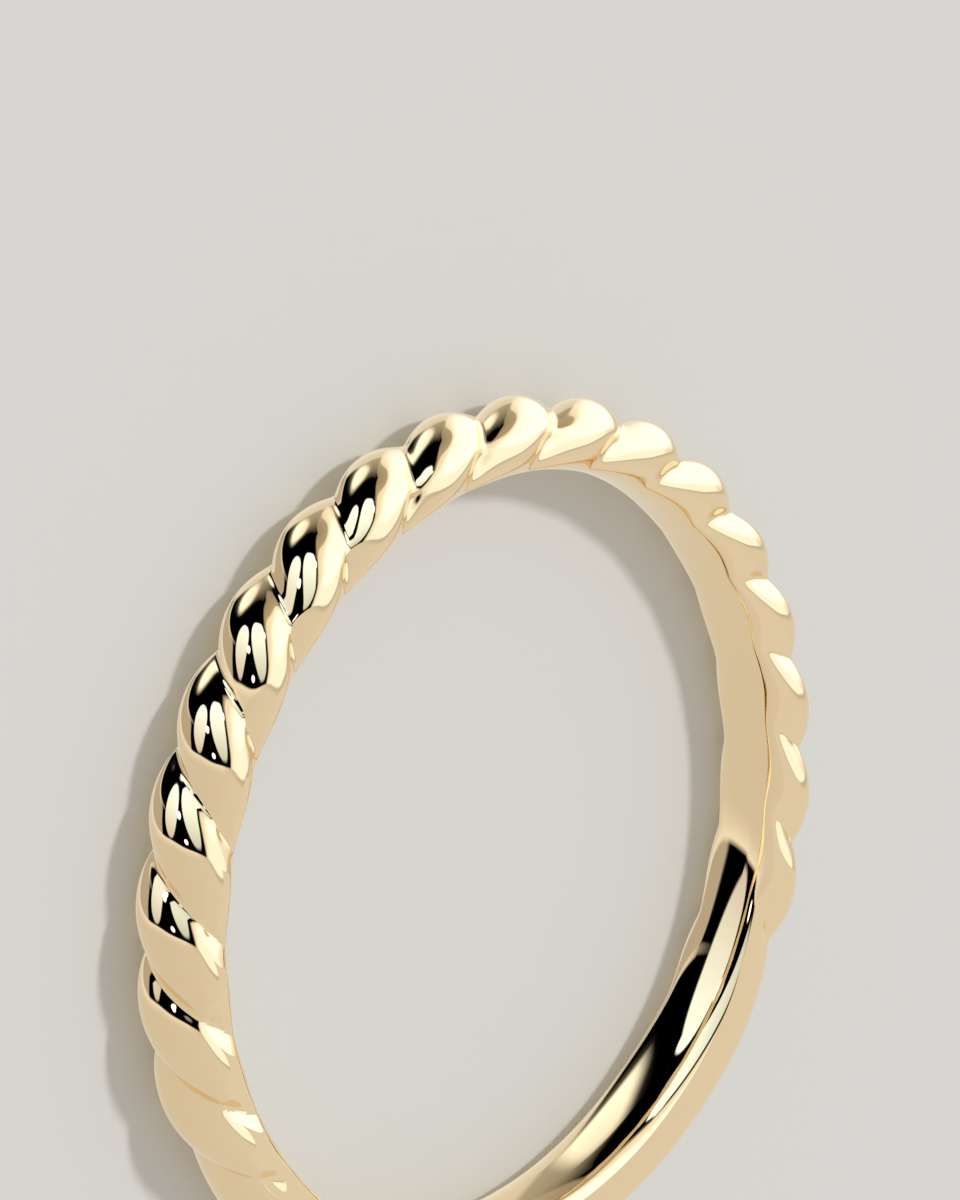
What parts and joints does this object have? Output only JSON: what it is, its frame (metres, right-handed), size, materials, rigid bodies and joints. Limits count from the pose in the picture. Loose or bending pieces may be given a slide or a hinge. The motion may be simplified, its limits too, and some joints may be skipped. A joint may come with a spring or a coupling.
{
  "type": "wedding ring",
  "caption": "Polished yellow gold wedding band: slanted rope lobes run round the front, then fade into a plain rounded band at the back of the finger.",
  "frame": {"origin": "on the ring's axis, at the level of the surface that the ring lies on", "axes": "+Z along the finger hole, up from the surface; +Y towards the middle of the rope; +X to the right of that, seen from above with +Y up"},
  "size_m": [0.0206, 0.0206, 0.0023],
  "materials": {
    "gold": "mirror polished pale yellow gold"
  },
  "bodies": {
    "root": {"ring": "gold"}
  },
  "joints": []
}
